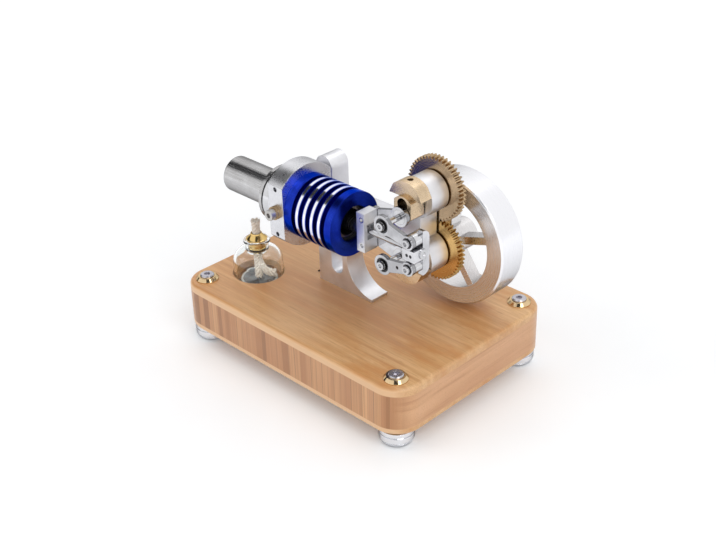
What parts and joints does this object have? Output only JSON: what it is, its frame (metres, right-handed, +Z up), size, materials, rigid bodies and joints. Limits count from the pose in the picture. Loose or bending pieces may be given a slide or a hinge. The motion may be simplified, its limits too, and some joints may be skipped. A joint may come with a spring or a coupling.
{
  "type": "stirling engine",
  "caption": "Bench hot-air engine on a wooden base with a spirit burner, hot cap, blue finned cooler, rhombic linkage, geared cranks and spoked flywheel.",
  "frame": {"origin": "middle of the wooden base, level with the undersides of the feet", "axes": "+X along the cylinder from the burner towards the cranks, +Y along the crankshafts towards the flywheel, +Z up"},
  "size_m": [0.158, 0.111, 0.1207],
  "materials": {
    "bamboo": "satin laminated bamboo",
    "chrome": "polished",
    "brass": "turned, satin",
    "bright_steel": "polished",
    "aluminium": "satin",
    "silver_link": "machined, satin",
    "blue_cooler": "blue anodised",
    "dark_steel": "dark",
    "gasket": "matt",
    "glass": "clear",
    "cotton": "braided cotton"
  },
  "bodies": {
    "engine_body": {"base": "bamboo", "feet": "chrome", "cup_washers": "brass", "corner_screws": "bright_steel", "bracket": "aluminium", "hot_block": "aluminium", "spacer_ring": "aluminium", "gasket": "gasket", "hot_cap": "bright_steel", "plug_bush": "brass", "plug_screw": "bright_steel", "cooler": "blue_cooler", "cylinder_liner": "dark_steel", "shaft_bearings": "bright_steel"},
    "burner": {"burner_glass": "glass", "burner_collar": "brass", "burner_wick": "cotton"},
    "lower_rotor": {"lower_shaft": "bright_steel", "lower_gear": "brass", "lower_crank": "brass", "lower_set_screw": "dark_steel", "lower_crankpin": "bright_steel", "flywheel": "aluminium", "flywheel_screw": "dark_steel"},
    "upper_rotor": {"upper_shaft": "bright_steel", "upper_gear": "brass", "upper_crank": "brass", "upper_set_screw": "dark_steel", "upper_crankpin": "bright_steel"},
    "piston_group": {"power_piston": "dark_steel", "piston_yoke": "silver_link", "piston_pins": "bright_steel"},
    "short_arm_upper": {"short_link_upper": "silver_link", "short_bearings_upper": "dark_steel", "short_pin_upper": "bright_steel"},
    "short_arm_lower": {"short_link_lower": "silver_link", "short_bearings_lower": "dark_steel", "short_pin_lower": "bright_steel"},
    "displacer_group": {"displacer": "dark_steel", "displacer_rod": "bright_steel", "displacer_yoke": "silver_link", "displacer_pins": "bright_steel", "pin_spacers": "bright_steel", "rod_end_screw": "bright_steel", "clamp_screws": "dark_steel"},
    "long_arm_upper": {"long_link_upper": "silver_link", "long_bearings_upper": "dark_steel", "long_bolt_upper": "bright_steel"},
    "long_arm_lower": {"long_link_lower": "silver_link", "long_bearings_lower": "dark_steel", "long_bolt_lower": "bright_steel"}
  },
  "joints": [
    {"name": "burner_lift", "type": "slide", "parent": "engine_body", "child": "burner", "axis": [0, 0, 1], "range_m": [0, 0.011]},
    {"name": "flywheel_spin", "type": "hinge", "parent": "engine_body", "child": "lower_rotor", "pos_m": [0.044, 0, 0.07275], "axis": [0, 1, 0], "continuous": true},
    {"name": "upper_crank_spin", "type": "hinge", "parent": "engine_body", "child": "upper_rotor", "pos_m": [0.044, 0, 0.10425], "axis": [0, 1, 0], "continuous": true},
    {"name": "piston_slide", "type": "slide", "parent": "engine_body", "child": "piston_group", "axis": [1, 0, 0], "range_m": [-0.0034, 0.0104]},
    {"name": "displacer_slide", "type": "slide", "parent": "engine_body", "child": "displacer_group", "axis": [1, 0, 0], "range_m": [-0.0104, 0.0034]},
    {"name": "short_arm_upper_swing", "type": "hinge", "parent": "piston_group", "child": "short_arm_upper", "pos_m": [0.0285, -0.0215, 0.0952], "axis": [0, -1, 0], "range_deg": [0, 54.5]},
    {"name": "short_arm_lower_swing", "type": "hinge", "parent": "piston_group", "child": "short_arm_lower", "pos_m": [0.0285, -0.0215, 0.0818], "axis": [0, 1, 0], "range_deg": [0, 54.5]},
    {"name": "long_arm_upper_swing", "type": "hinge", "parent": "displacer_group", "child": "long_arm_upper", "pos_m": [0.0595, -0.0215, 0.0952], "axis": [0, 1, 0], "range_deg": [0, 54.5]},
    {"name": "long_arm_lower_swing", "type": "hinge", "parent": "displacer_group", "child": "long_arm_lower", "pos_m": [0.0595, -0.0215, 0.0818], "axis": [0, -1, 0], "range_deg": [0, 54.5]}
  ],
  "couplings": [
    {"joint": "upper_crank_spin", "follows": "flywheel_spin", "ratio": -1},
    {"joint": "short_arm_lower_swing", "follows": "short_arm_upper_swing", "ratio": 1},
    {"joint": "long_arm_lower_swing", "follows": "long_arm_upper_swing", "ratio": 1}
  ]
}
